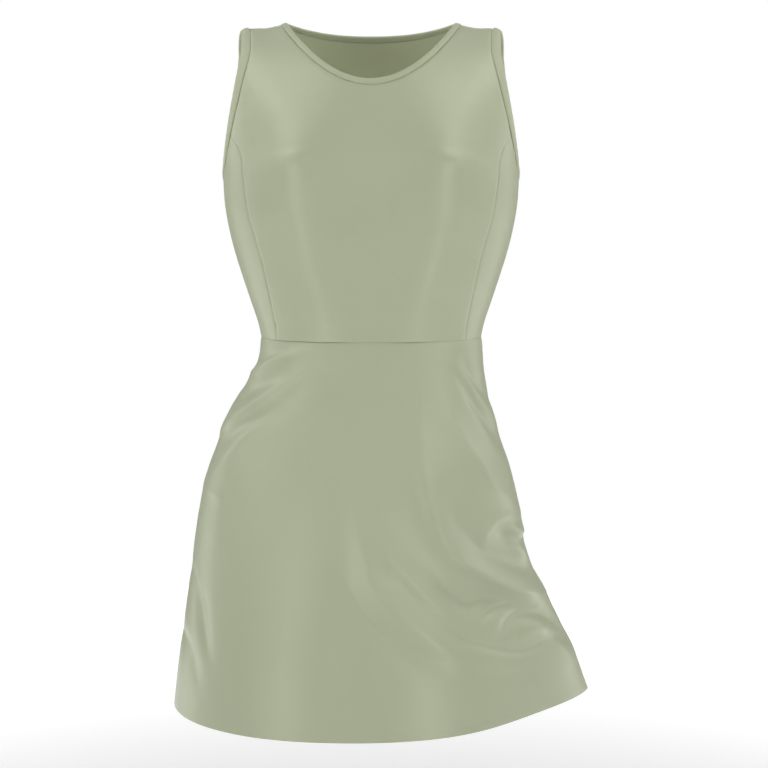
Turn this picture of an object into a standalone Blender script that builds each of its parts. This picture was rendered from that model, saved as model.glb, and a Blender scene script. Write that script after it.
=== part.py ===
"""A sleeveless, round-neck, A-line mini dress of smooth stretch knit, in the shape it has when worn.

Metres, +Z up. The front faces -Y. The origin is midway between the neck points, at the underside of
the shoulders, where a wearer holds the dress up. Every piece is a patch of one of two surfaces: the
bodice, from the waist seam to the shoulder seams, and the skirt, from the hem to the waist seam. A
place on a surface is its turn round the body in degrees (0 centre front, 90 the side at +X, 180
centre back) and its level. Each patch becomes a closed wall of cloth, parted from its neighbours by
a narrow gap at the seams.
"""

import math

import bmesh
import bpy
import numpy as np

# Cloth
CLOTH_WALL = 0.0016
BAND_WALL = 0.0026
BAND_ROLL = 0.0003
SEAM_GAP = 0.0003

# Heights of the dress, down from the neck points
SHOULDER_LEVEL = CLOTH_WALL / 2
BUST_LEVEL = -0.170
WAIST_LEVEL = -0.360
HEM_LEVEL = -0.799
HEM_RISE_LEFT = 0.005
HEM_RISE_RIGHT = 0.014

# Neck opening
NECK_HALF_WIDTH = 0.0966
NECK_FRONT_DROP = 0.067
NECK_BACK_DROP = 0.011
NECK_FRONT_POWER = 2.0
NECK_BACK_POWER = 2.4
NECK_BAND_WIDTH = 0.007

# Shoulders: their line rises towards the nape, which rounds the neck opening, and falls at the tips
SHOULDER_TIP = 0.1490
SHOULDER_TIP_START = 0.142
SHOULDER_TIP_DROP = 0.0022
NAPE_RISE = 0.032
NAPE_HALF_WIDTH = 0.128

# Armholes, as levels and turns on the bodice surface
ARM_BAND_WIDTH = 0.008
ARMHOLE_BOTTOM = 0.985
ARMHOLE_DEEPEST = 1.62
ARMHOLE_FRONT_REACH = 33.5
ARMHOLE_BACK_REACH = 29.0
ARMHOLE_FULLNESS = 1.25
ARM_BAND_LEVELS = 0.040
ARM_BAND_TURN = 6.6

# Bodice sections: height, half width, front depth, back depth
BODICE_ROWS = (
    (-0.360, 0.1275, 0.0950, 0.0850),
    (-0.345, 0.1308, 0.0965, 0.0860),
    (-0.319, 0.1392, 0.1000, 0.0890),
    (-0.291, 0.1486, 0.1045, 0.0930),
    (-0.263, 0.1572, 0.1090, 0.0970),
    (-0.235, 0.1641, 0.1130, 0.1000),
    (-0.207, 0.1690, 0.1160, 0.1020),
    (-0.170, 0.1708, 0.1170, 0.1030),
)
BODICE_ROUNDNESS = 2.3
FRONT_ARCH = 0.60
BACK_ARCH = 0.85

# Bust cups: soft swells shaped by the front seams
CUP_OFFSET = 0.086
CUP_LEVEL = -0.166
CUP_SWELL = 0.014
CUP_SPREAD = 0.056
CUP_ABOVE = 0.055
CUP_BELOW = 0.080

# Seams from the waist up to the armholes: level, turn from the centre line
FRONT_SEAM_ROWS = (
    (0.00, 53.5),
    (0.25, 50.8),
    (0.50, 49.6),
    (0.75, 51.6),
    (0.95, 53.4),
    (1.06, 55.4),
    (1.12, 59.4),
    (1.16, 66.0),
)
BACK_SEAM_ROWS = (
    (0.00, 46.0),
    (0.30, 46.5),
    (0.60, 48.5),
    (0.90, 52.0),
    (1.06, 57.0),
    (1.18, 66.0),
)

# Skirt sections: height, left edge, right edge, middle, front depth, back depth, swing of the right
# edge towards the back, roundness of the right side
SKIRT_ROWS = (
    (-0.360, 0.1275, 0.1275, 0.000, 0.095, 0.085, 0.000, 2.30),
    (-0.382, 0.1285, 0.1280, 0.000, 0.098, 0.096, 0.000, 2.25),
    (-0.405, 0.1365, 0.1300, 0.000, 0.102, 0.106, 0.000, 2.20),
    (-0.430, 0.1545, 0.1345, -0.001, 0.107, 0.114, 0.000, 2.15),
    (-0.465, 0.1685, 0.1445, -0.003, 0.114, 0.120, 0.001, 2.10),
    (-0.510, 0.1860, 0.1590, -0.006, 0.123, 0.127, 0.002, 2.05),
    (-0.565, 0.2000, 0.1715, -0.010, 0.133, 0.132, 0.004, 1.95),
    (-0.625, 0.2092, 0.1815, -0.014, 0.143, 0.136, 0.007, 1.85),
    (-0.680, 0.2168, 0.2085, -0.018, 0.152, 0.139, 0.011, 1.76),
    (-0.735, 0.2245, 0.2345, -0.021, 0.161, 0.141, 0.015, 1.68),
    (-0.799, 0.2315, 0.2575, -0.024, 0.170, 0.143, 0.018, 1.60),
)
SKIRT_ROUNDNESS = 2.2
WAIST_ROLL = 0.0020
WAIST_ROLL_LENGTH = 0.005

# Main folds of the skirt, as they lie in the front and back views: how far they stand out (below
# zero for a trough), how wide they spread, and the (x, height) points that they run through
FRONT_FOLDS = (
    (0.0026, 0.012, ((-0.130, -0.402), (-0.108, -0.388), (-0.083, -0.377))),
    (0.0042, 0.012, ((-0.170, -0.468), (-0.139, -0.443), (-0.108, -0.424), (-0.074, -0.402))),
    (-0.0026, 0.012, ((-0.160, -0.440), (-0.138, -0.420), (-0.104, -0.401))),
    (0.0040, 0.014, ((-0.184, -0.530), (-0.163, -0.502), (-0.144, -0.476), (-0.108, -0.457))),
    (-0.0038, 0.013, ((-0.204, -0.615), (-0.193, -0.643), (-0.186, -0.678), (-0.181, -0.705))),
    (-0.0030, 0.012, ((0.099, -0.382), (0.114, -0.403), (0.131, -0.430))),
    (-0.0036, 0.012, ((0.092, -0.396), (0.113, -0.423), (0.131, -0.451), (0.148, -0.480))),
    (0.0045, 0.014, ((0.074, -0.425), (0.106, -0.478), (0.135, -0.521), (0.160, -0.548))),
    (0.0085, 0.020, ((0.055, -0.450), (0.062, -0.521), (0.073, -0.564), (0.096, -0.600),
                     (0.125, -0.616), (0.160, -0.628), (0.196, -0.641))),
    (-0.0050, 0.015, ((0.084, -0.508), (0.094, -0.556), (0.116, -0.588), (0.150, -0.603))),
    (-0.0055, 0.014, ((0.080, -0.640), (0.112, -0.661), (0.138, -0.662), (0.160, -0.650))),
    (0.0040, 0.015, ((0.007, -0.560), (0.033, -0.613), (0.062, -0.646), (0.099, -0.670))),
    (0.0050, 0.018, ((-0.015, -0.520), (-0.008, -0.600), (0.010, -0.645), (0.036, -0.671),
                     (0.068, -0.695), (0.104, -0.715))),
    (-0.0040, 0.016, ((-0.034, -0.610), (-0.016, -0.655), (0.024, -0.692), (0.072, -0.722))),
    (-0.0040, 0.013, ((0.147, -0.682), (0.163, -0.660), (0.184, -0.655), (0.206, -0.668))),
    (0.0045, 0.015, ((0.100, -0.690), (0.135, -0.699), (0.168, -0.702), (0.196, -0.694))),
    (0.0050, 0.014, ((0.150, -0.562), (0.163, -0.580), (0.166, -0.600))),
)
BACK_FOLDS = (
    (0.0040, 0.010, ((-0.165, -0.460), (-0.132, -0.436), (-0.092, -0.414))),
    (-0.0035, 0.010, ((-0.150, -0.430), (-0.118, -0.411), (-0.080, -0.394))),
    (-0.0035, 0.009, ((0.098, -0.390), (0.118, -0.418), (0.136, -0.452))),
    (0.0050, 0.015, ((0.052, -0.430), (0.072, -0.505), (0.100, -0.570), (0.142, -0.618))),
    (0.0070, 0.018, ((0.010, -0.520), (0.022, -0.610), (0.060, -0.668), (0.120, -0.702))),
    (-0.0055, 0.015, ((0.058, -0.560), (0.086, -0.622), (0.136, -0.655))),
    (0.0055, 0.018, ((-0.086, -0.560), (-0.096, -0.660), (-0.104, -0.780))),
    (-0.0045, 0.016, ((-0.046, -0.600), (-0.050, -0.690), (-0.052, -0.785))),
    (-0.0040, 0.014, ((-0.140, -0.610), (-0.152, -0.700), (-0.160, -0.785))),
    (0.0045, 0.015, ((0.150, -0.690), (0.178, -0.722), (0.205, -0.760))),
)
FOLD_STEPS = 6
SIDE_BLEND = 0.18

# Cells of each patch
PRINCESS_CELLS = 11
SCYE_CELLS = 8
UNDERARM_CELLS = 8
STRAP_CELLS = 4
NECK_FRONT_CELLS = 18
NECK_BACK_CELLS = 16
SKIRT_FRONT_CELLS = (52, 36)
SKIRT_BACK_CELLS = (24, 18)
ROLL_CELL = 0.014

# Finish
CLOTH_COLOUR = (0.381, 0.413, 0.279, 1.0)
BAND_COLOUR = (0.366, 0.397, 0.266, 1.0)
CLOTH_ROUGHNESS = 0.72


def follow(rows, place):
    """The other columns of a table at a place in its first column, on a smooth curve."""
    rows = sorted(rows)
    table = np.array(rows, float)
    places, values = table[:, 0], table[:, 1:]
    slopes = np.gradient(values, places, axis=0)
    place = min(max(place, places[0]), places[-1])
    low = min(int(np.searchsorted(places, place, side="right")) - 1, len(places) - 2)
    step = places[low + 1] - places[low]
    s = (place - places[low]) / step
    return (
        (2 * s**3 - 3 * s**2 + 1) * values[low]
        + (s**3 - 2 * s**2 + s) * step * slopes[low]
        + (3 * s**2 - 2 * s**3) * values[low + 1]
        + (s**3 - s**2) * step * slopes[low + 1]
    )


def ease(value, start, end):
    """0 before start, 1 after end, and a smooth rise between."""
    s = min(max((value - start) / (end - start), 0.0), 1.0)
    return s * s * (3 - 2 * s)


def section(turn, roundness):
    """Across and ahead on a unit section at a turn: a circle at 2, squarer above, pointed below."""
    angle = math.radians(turn)
    across, ahead = math.sin(angle), math.cos(angle)
    size = (abs(across) ** roundness + abs(ahead) ** roundness) ** (-1 / roundness)
    return across * size, ahead * size


def turn_across(share, roundness):
    """The turn, in front, at which a unit section is this far across."""
    ahead = max(1 - abs(share) ** roundness, 0.0) ** (1 / roundness)
    return math.degrees(math.atan2(share, ahead))


def nape_height(x):
    """How far the shoulder line has risen towards the nape."""
    return NAPE_RISE * max(1 - (x / NAPE_HALF_WIDTH) ** 2, 0.0) ** 2


def shoulder_height(x):
    """Height of the shoulder line, which is level with the origin at the neck points."""
    tip = SHOULDER_TIP_DROP * ease(abs(x), SHOULDER_TIP_START, SHOULDER_TIP)
    return SHOULDER_LEVEL + nape_height(x) - nape_height(NECK_HALF_WIDTH) - tip


def cup_swell(x, height):
    """How far the bust cups stand out of the plain front."""
    spread = CUP_ABOVE if height > CUP_LEVEL else CUP_BELOW
    side = math.exp(-(((abs(x) - CUP_OFFSET) / CUP_SPREAD) ** 2))
    return CUP_SWELL * side * math.exp(-(((height - CUP_LEVEL) / spread) ** 2))


def bodice(turn, level):
    """A point of the bodice. Level 0 is the waist seam, 1 the bust line and 2 the shoulder line."""
    across, ahead = section(turn, BODICE_ROUNDNESS)
    height = WAIST_LEVEL + min(level, 1.0) * (BUST_LEVEL - WAIST_LEVEL)
    half_width, front_depth, back_depth = follow(BODICE_ROWS, height)
    x = half_width * across
    lean = 1.0
    if level > 1:
        arch = (level - 1) * math.pi / 2
        height = BUST_LEVEL + (shoulder_height(x) - BUST_LEVEL) * math.sin(arch)
        share = FRONT_ARCH if ahead > 0 else BACK_ARCH
        lean = math.cos(arch) * (share + (1 - share) * abs(math.cos(arch)))
    depth = front_depth if ahead > 0 else back_depth
    swell = cup_swell(x, height) * ease(ahead, 0.0, 0.5) * ease(lean, 0.0, 0.4)
    return np.array((x, -depth * ahead * lean - swell, height))


def fold_path(points):
    """A smooth run through a fold's few points."""
    rows = [(index, *point) for index, point in enumerate(points)]
    count = (len(points) - 1) * FOLD_STEPS
    return np.array([follow(rows, step / FOLD_STEPS) for step in range(count + 1)])


def fold_table(folds):
    return [(rise, spread, fold_path(points)) for rise, spread, points in folds]


FRONT_FOLD_PATHS = fold_table(FRONT_FOLDS)
BACK_FOLD_PATHS = fold_table(BACK_FOLDS)


def fold_height(paths, x, height):
    """How far the folds push the cloth out here. Each fold fades out towards its two ends."""
    total = 0.0
    for rise, spread, path in paths:
        starts, runs = path[:-1], np.diff(path, axis=0)
        lengths = (runs**2).sum(1)
        along = np.clip(((np.array((x, height)) - starts) * runs).sum(1) / lengths, 0, 1)
        gaps = np.hypot(*(starts + runs * along[:, None] - (x, height)).T)
        nearest = int(np.argmin(gaps))
        place = (nearest + along[nearest]) / len(runs)
        fade = math.sin(math.pi * (0.1 + 0.8 * place)) ** 0.7
        total += rise * fade * math.exp(-((gaps[nearest] / spread) ** 2))
    return total


def plain_skirt(turn, level):
    """A point of the skirt without its folds. Level 0 is the hem and 1 the waist seam."""
    height = HEM_LEVEL + level * (WAIST_LEVEL - HEM_LEVEL)
    left, right, middle, front_depth, back_depth, swing, right_round = follow(SKIRT_ROWS, height)
    angle = math.radians(turn)
    to_right = max(math.sin(angle), 0.0)
    roundness = SKIRT_ROUNDNESS + (right_round - SKIRT_ROUNDNESS) * ease(to_right, 0.0, 0.9)
    across, ahead = section(turn, roundness)
    roll = WAIST_ROLL * (1 - math.exp((height - WAIST_LEVEL) / WAIST_ROLL_LENGTH))
    reach = right - middle if across > 0 else left + middle
    depth = (front_depth if ahead > 0 else back_depth) + roll
    rise = HEM_RISE_RIGHT if across > 0 else HEM_RISE_LEFT
    height += rise * math.sin(angle) ** 2 * (1 - level) ** 2
    return np.array(
        (middle + (reach + roll) * across, -depth * ahead + swing * to_right**3, height)
    )


def skirt(turn, level):
    """A point of the skirt with its folds, which push it out along its own normal."""
    point = plain_skirt(turn, level)
    facing = ease(math.cos(math.radians(turn)), -SIDE_BLEND, SIDE_BLEND)
    push = facing * fold_height(FRONT_FOLD_PATHS, point[0], point[2])
    push += (1 - facing) * fold_height(BACK_FOLD_PATHS, point[0], point[2])
    calm = ease(WAIST_LEVEL - point[2], 0.0, 0.02)
    return point + normal(plain_skirt, turn, level) * push * calm


def normal(surface, turn, level):
    """The outward normal of a surface."""
    round_body = surface(turn + 0.6, level) - surface(turn - 0.6, level)
    upwards = surface(turn, level + 0.006) - surface(turn, level - 0.006)
    across = np.cross(round_body, upwards)
    return across / np.linalg.norm(across)


def spaced(surface, curve, cells):
    """Places along curve(0 to 1), at equal lengths on the surface."""
    fine = [curve(step / 120) for step in range(121)]
    points = np.array([surface(*place) for place in fine])
    run = np.concatenate(([0.0], np.cumsum(np.linalg.norm(np.diff(points, axis=0), axis=1))))
    wanted = np.linspace(0, run[-1], cells + 1)
    fine = np.array(fine)
    return np.stack([np.interp(wanted, run, fine[:, axis]) for axis in (0, 1)], axis=1)


def neck_place(swing, front, band):
    """A place on the neckline, or on its band's seam. Swing runs from -90 to 90 degrees."""
    x = (NECK_HALF_WIDTH + band) * math.sin(math.radians(swing))
    share = abs(math.sin(math.radians(swing)))
    top = shoulder_height(NECK_HALF_WIDTH + band)
    bottom = SHOULDER_LEVEL - (NECK_FRONT_DROP if front else NECK_BACK_DROP) - band
    height = bottom + (top - bottom) * share ** (NECK_FRONT_POWER if front else NECK_BACK_POWER)
    lift = (height - BUST_LEVEL) / (shoulder_height(x) - BUST_LEVEL)
    level = 1 + math.degrees(math.asin(min(lift, 1.0))) / 90
    half_width = BODICE_ROWS[-1][1]
    turn = turn_across(x / half_width, BODICE_ROUNDNESS)
    return (turn if front else 180 - turn), level


def neck_run(front, band, cells):
    """The neckline from -X to +X, as places on the bodice."""
    return spaced(bodice, lambda s: neck_place(180 * s - 90, front, band), cells)


def armhole_place(rise, front, band):
    """A place on the armhole at +X, or on its band's seam. Rise runs from 0, underarm, to 1."""
    share = band / ARM_BAND_WIDTH
    bottom = ARMHOLE_BOTTOM - ARM_BAND_LEVELS * share
    # Close steps at the bottom, where the curve turns under the arm
    level = bottom + (2 - bottom) * rise**2
    reach = (ARMHOLE_FRONT_REACH if front else ARMHOLE_BACK_REACH) + ARM_BAND_TURN * share
    climb = min((level - bottom) / (ARMHOLE_DEEPEST - bottom), 1.0)
    turn = 90 - reach * math.sqrt(1 - (1 - climb) ** ARMHOLE_FULLNESS)
    tip = turn_across((SHOULDER_TIP - band) / BODICE_ROWS[-1][1], BODICE_ROUNDNESS)
    past = max(level - ARMHOLE_DEEPEST, 0.0) / (2 - ARMHOLE_DEEPEST)
    turn += (tip - turn) * past**2
    return (turn if front else 180 - turn), level


def seam_turn(level, front):
    """Turn of the seam that runs from the waist up to the armhole at +X."""
    turn = float(follow(FRONT_SEAM_ROWS if front else BACK_SEAM_ROWS, level)[0])
    return turn if front else 180 - turn


def junction_rise(front):
    """Where on the armhole's seam the seam from the waist ends."""
    end = (FRONT_SEAM_ROWS if front else BACK_SEAM_ROWS)[-1][0]
    bottom = ARMHOLE_BOTTOM - ARM_BAND_LEVELS
    return ((end - bottom) / (2 - bottom)) ** 0.5


def princess_run(front):
    """The seam from the waist to the armhole at +X, ending exactly on the armhole's seam."""
    end_turn, end_level = armhole_place(junction_rise(front), front, ARM_BAND_WIDTH)
    miss = end_turn - seam_turn(end_level, front)

    def place(s):
        level = s * end_level
        return seam_turn(level, front) + miss * ease(level, 0.8 * end_level, end_level), level

    return spaced(bodice, place, PRINCESS_CELLS)


def scye_run(front):
    """The armhole's seam from the end of the seam below up to the shoulder."""
    start = junction_rise(front)
    return spaced(
        bodice,
        lambda s: armhole_place(start + (1 - start) * s, front, ARM_BAND_WIDTH),
        SCYE_CELLS,
    )


def underarm_run():
    """The armhole's seam on the side panel, from its front end under the arm to its back end."""
    front_rise, back_rise = junction_rise(True), junction_rise(False)
    half = UNDERARM_CELLS // 2
    ahead = spaced(bodice, lambda s: armhole_place(front_rise * (1 - s), True, ARM_BAND_WIDTH), half)
    behind = spaced(bodice, lambda s: armhole_place(back_rise * s, False, ARM_BAND_WIDTH), half)
    return np.concatenate((ahead, behind[1:]))


def other_side(run, about):
    """A run mirrored to -X: turns are taken about 0 in front and about 180 at the back."""
    mirrored = run.copy()
    mirrored[:, 0] = 2 * about - run[:, 0]
    return mirrored


def straight(start, end, cells):
    """Places evenly between two places."""
    shares = np.linspace(0, 1, cells + 1)[:, None]
    return np.array(start) + (np.array(end) - np.array(start)) * shares


def patch(bottom, top, first, last):
    """A grid of places between four runs that meet at their corners."""
    u = np.linspace(0, 1, len(bottom))[None, :, None]
    v = np.linspace(0, 1, len(first))[:, None, None]
    ruled = (1 - v) * bottom[None] + v * top[None] + (1 - u) * first[:, None] + u * last[:, None]
    corners = (1 - u) * (1 - v) * bottom[0] + u * (1 - v) * bottom[-1]
    corners = corners + (1 - u) * v * top[0] + u * v * top[-1]
    return ruled - corners


def panel_places(front):
    """The front panel, or the back panel, as a grid of places with turns rising."""
    about = 0 if front else 180
    near = np.concatenate((princess_run(front), scye_run(front)[1:]))
    far = other_side(near, about)
    neck = neck_run(front, NECK_BAND_WIDTH, NECK_FRONT_CELLS if front else NECK_BACK_CELLS)
    if front:
        first, last = far, near
    else:
        first, last = near, far
        neck = neck[::-1].copy()
        neck[:, 0] = np.where(neck[:, 0] < 0, neck[:, 0] + 360, neck[:, 0])
    start = straight(first[-1], neck[0], STRAP_CELLS)
    end = straight(neck[-1], last[-1], STRAP_CELLS)
    top = np.concatenate((start, neck[1:], end[1:]))
    bottom = straight(first[0], last[0], len(top) - 1)
    return patch(bottom, top, first, last)


def side_places():
    """The side panel at +X."""
    first, last, top = princess_run(True), princess_run(False), underarm_run()
    return patch(straight(first[0], last[0], UNDERARM_CELLS), top, first, last)


def arm_band_places():
    """The armhole's band at +X: a closed strip, from its seam to its edge."""
    strip = []
    for share in (1.0, 0.5, 0.0):
        band = ARM_BAND_WIDTH * share
        front_rise, back_rise = junction_rise(True), junction_rise(False)
        half = UNDERARM_CELLS // 2
        pieces = (
            (True, lambda s: 1 - (1 - front_rise) * s, SCYE_CELLS),
            (True, lambda s: front_rise * (1 - s), half),
            (False, lambda s: back_rise * s, half),
            (False, lambda s: back_rise + (1 - back_rise) * s, SCYE_CELLS),
        )
        row = []
        for front, rise, cells in pieces:
            run = spaced(bodice, lambda s: armhole_place(rise(s), front, band), cells)
            row.extend(run if not row else run[1:])
        strip.append(row[:-1])
    return np.array(strip)


def neck_band_places():
    """The neck's band: a closed strip, from its seam to its edge."""
    strip = []
    for share in (1.0, 0.5, 0.0):
        band = NECK_BAND_WIDTH * share
        ahead = neck_run(True, band, NECK_FRONT_CELLS)
        behind = neck_run(False, band, NECK_BACK_CELLS)[::-1]
        strip.append(np.concatenate((ahead, behind[1:-1])))
    return np.array(strip)


def skirt_places(start, end, cells):
    """A skirt panel between two turns, with close rows under the waist seam."""
    columns = np.linspace(start, end, cells[0] + 1)
    rolled = 1 - ROLL_CELL / (WAIST_LEVEL - HEM_LEVEL)
    rows = np.concatenate((np.linspace(0, rolled, cells[1] - 1), [(1 + rolled) / 2, 1.0]))
    return np.array([[(turn, level) for turn in columns] for level in rows])


def lay(surface, places):
    """Middle points and normals of a grid of places."""
    points = np.array([[surface(*place) for place in row] for row in places])
    normals = np.array([[normal(surface, *place) for place in row] for row in places])
    return points, normals


def pull_in(points, closed):
    """Draws the grid's free edges in by half a seam gap."""
    drawn = points.copy()
    rows, columns = points.shape[:2]
    for j in range(rows):
        for i in range(columns):
            in_j = 1 if j == 0 else rows - 2 if j == rows - 1 else j
            in_i = i if closed else 1 if i == 0 else columns - 2 if i == columns - 1 else i
            if (in_j, in_i) == (j, i):
                continue
            for edge, inner in ((in_j != j, points[in_j, i]), (in_i != i, points[j, in_i])):
                if edge:
                    away = inner - points[j, i]
                    drawn[j, i] += away / np.linalg.norm(away) * SEAM_GAP / 2
    return drawn


def mirrored(points, normals):
    """The same piece at -X, with its columns in rising order again."""
    flip = np.array((-1.0, 1.0, 1.0))
    return points[:, ::-1] * flip, normals[:, ::-1] * flip


def wall(name, points, normals, thickness, closed, material):
    """A closed wall of cloth about a grid of middle points. A closed grid joins its two ends."""
    mesh_points = pull_in(points, closed)
    half = normals * (np.asarray(thickness).reshape(-1, 1, 1) / 2)
    rows, columns = points.shape[:2]
    shape = bmesh.new()
    faces = []
    for offset in (half, -half):
        faces.append([[shape.verts.new(place) for place in row] for row in mesh_points + offset])
    outer, inner = faces
    around = columns if closed else columns - 1
    for j in range(rows - 1):
        for i in range(around):
            k = (i + 1) % columns
            shape.faces.new((outer[j][i], outer[j][k], outer[j + 1][k], outer[j + 1][i]))
            shape.faces.new((inner[j][i], inner[j + 1][i], inner[j + 1][k], inner[j][k]))
    for i in range(around):
        k = (i + 1) % columns
        shape.faces.new((inner[0][i], inner[0][k], outer[0][k], outer[0][i]))
        shape.faces.new((outer[-1][i], outer[-1][k], inner[-1][k], inner[-1][i]))
    if not closed:
        for j in range(rows - 1):
            shape.faces.new((outer[j][0], outer[j + 1][0], inner[j + 1][0], inner[j][0]))
            shape.faces.new((inner[j][-1], inner[j + 1][-1], outer[j + 1][-1], outer[j][-1]))
    bmesh.ops.recalc_face_normals(shape, faces=shape.faces)
    mesh = bpy.data.meshes.new(name)
    shape.to_mesh(mesh)
    shape.free()
    mesh.shade_smooth()
    mesh.set_sharp_from_angle(angle=math.radians(50))
    mesh.materials.append(material)
    piece = bpy.data.objects.new(name, mesh)
    bpy.context.scene.collection.objects.link(piece)
    return piece


def knit(name, colour):
    """The cloth's plain finish."""
    material = bpy.data.materials.new(name)
    material.use_nodes = True
    shader = material.node_tree.nodes["Principled BSDF"]
    shader.inputs["Base Color"].default_value = colour
    shader.inputs["Roughness"].default_value = CLOTH_ROUGHNESS
    shader.inputs["Metallic"].default_value = 0.0
    return material


def level_ends(normals, row):
    """Makes one row of normals level, so that the walls meet squarely at the waist seam."""
    normals[row, :, 2] = 0
    normals[row] /= np.linalg.norm(normals[row], axis=1)[:, None]
    return normals


def bodice_panels():
    pieces = []
    for name, front in (("front_panel", True), ("back_panel", False)):
        points, normals = lay(bodice, panel_places(front))
        normals = level_ends(normals, 0)
        pieces.append(wall(name, points, normals, CLOTH_WALL, False, knit(name, CLOTH_COLOUR)))
    points, normals = lay(bodice, side_places())
    normals = level_ends(normals, 0)
    sides = {"side_panel_right": (points, normals), "side_panel_left": mirrored(points, normals)}
    for name, grid in sides.items():
        pieces.append(wall(name, *grid, CLOTH_WALL, False, knit(name, CLOTH_COLOUR)))
    return pieces


def bands():
    rolled = (BAND_WALL, BAND_WALL + 2 * BAND_ROLL, BAND_WALL)
    points, normals = lay(bodice, neck_band_places())
    pieces = [wall("neck_band", points, normals, rolled, True, knit("neck_band", BAND_COLOUR))]
    points, normals = lay(bodice, arm_band_places())
    sides = {"arm_band_right": (points, normals), "arm_band_left": mirrored(points, normals)}
    for name, grid in sides.items():
        pieces.append(wall(name, *grid, rolled, True, knit(name, BAND_COLOUR)))
    return pieces


def skirt_panels():
    pieces = []
    spans = {
        "skirt_front": (-90, 90, SKIRT_FRONT_CELLS),
        "skirt_back": (90, 270, SKIRT_BACK_CELLS),
    }
    for name, span in spans.items():
        points, normals = lay(skirt, skirt_places(*span))
        normals = level_ends(normals, -1)
        pieces.append(wall(name, points, normals, CLOTH_WALL, False, knit(name, CLOTH_COLOUR)))
    return pieces


def main():
    for old in list(bpy.data.objects):
        bpy.data.objects.remove(old, do_unlink=True)
    hold = bpy.data.objects.new("shoulder_line", None)
    bpy.context.scene.collection.objects.link(hold)
    for piece in bodice_panels() + bands() + skirt_panels():
        piece.parent = hold


main()
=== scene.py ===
"""The looks of a sleeveless, round-neck, A-line mini dress of smooth sage green stretch jersey.

Metres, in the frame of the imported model: +Z up, the front of the dress faces -Y, and the origin is
midway between the neck points. Each panel is a thin shell on the form of the solid that it replaces.
A place on the bodice or the skirt is its turn round the body in degrees (0 centre front, 90 the side
at +X, 180 centre back) and its level (bodice: 0 waist seam, 1 bust, 2 shoulder line; skirt: 0 hem, 1
waist seam). Folds, seams and puckers are laid on those two surfaces.
"""

import math

import bpy
import numpy as np
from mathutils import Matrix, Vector, noise


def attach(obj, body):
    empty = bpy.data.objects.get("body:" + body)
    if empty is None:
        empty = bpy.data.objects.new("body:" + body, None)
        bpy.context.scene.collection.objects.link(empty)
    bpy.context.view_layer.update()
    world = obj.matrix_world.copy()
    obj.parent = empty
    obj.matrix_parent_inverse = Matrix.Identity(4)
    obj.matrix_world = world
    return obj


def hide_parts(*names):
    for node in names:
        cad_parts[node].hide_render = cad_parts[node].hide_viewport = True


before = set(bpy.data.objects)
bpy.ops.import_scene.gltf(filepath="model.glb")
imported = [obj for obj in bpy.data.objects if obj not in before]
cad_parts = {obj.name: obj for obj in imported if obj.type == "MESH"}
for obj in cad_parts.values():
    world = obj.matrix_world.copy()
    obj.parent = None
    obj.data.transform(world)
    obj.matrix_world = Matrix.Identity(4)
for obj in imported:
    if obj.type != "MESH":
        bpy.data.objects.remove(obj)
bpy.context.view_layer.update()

# Cloth: its walls, how its edges thin out, and the grooves at its seams
CLOTH_WALL = 0.0012
BAND_WALL = 0.0028
HEM_THINNING = 0.0002
HEM_EDGE = 0.0012
EDGE_SHARE = 0.55
EDGE_WIDTH = 0.0016
SEAM_GAP = 0.0001
SEAM_DIP = 0.0004
SEAM_DIP_WIDTH = 0.0022
SHARP_ANGLE = 60.0

# Heights of the dress, down from the neck points
SHOULDER_LEVEL = 0.0008
BUST_LEVEL = -0.170
WAIST_LEVEL = -0.360
HEM_LEVEL = -0.799
HEM_RISE_LEFT = 0.005
HEM_RISE_RIGHT = 0.014

# Neck opening
NECK_HALF_WIDTH = 0.0966
NECK_FRONT_DROP = 0.067
NECK_BACK_DROP = 0.011
NECK_FRONT_POWER = 2.0
NECK_BACK_POWER = 2.4
NECK_BAND_WIDTH = 0.007

# Shoulders: their line rises towards the nape and falls at the tips
SHOULDER_TIP = 0.1490
SHOULDER_TIP_START = 0.142
SHOULDER_TIP_DROP = 0.0022
NAPE_RISE = 0.032
NAPE_HALF_WIDTH = 0.128

# Armholes, as levels and turns on the bodice surface
ARM_BAND_WIDTH = 0.008
ARMHOLE_BOTTOM = 0.985
ARMHOLE_DEEPEST = 1.62
ARMHOLE_FRONT_REACH = 33.5
ARMHOLE_BACK_REACH = 29.0
ARMHOLE_FULLNESS = 1.25
ARM_BAND_LEVELS = 0.040
ARM_BAND_TURN = 6.6

# Bodice sections: height, half width, front depth, back depth
BODICE_ROWS = (
    (-0.360, 0.1275, 0.0950, 0.0850),
    (-0.345, 0.1308, 0.0965, 0.0860),
    (-0.319, 0.1392, 0.1000, 0.0890),
    (-0.291, 0.1486, 0.1045, 0.0930),
    (-0.263, 0.1572, 0.1090, 0.0970),
    (-0.235, 0.1641, 0.1130, 0.1000),
    (-0.207, 0.1690, 0.1160, 0.1020),
    (-0.170, 0.1708, 0.1170, 0.1030),
)
BODICE_ROUNDNESS = 2.3
FRONT_ARCH = 0.60
BACK_ARCH = 0.85

# Bust cups: soft swells shaped by the front seams, which fade towards the sides and the shoulders
CUP_OFFSET = 0.086
CUP_LEVEL = -0.166
CUP_SWELL = 0.014
CUP_SPREAD = 0.056
CUP_ABOVE = 0.055
CUP_BELOW = 0.080
CUP_ASIDE = 0.5
CUP_SHOULDER = 0.4

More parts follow.
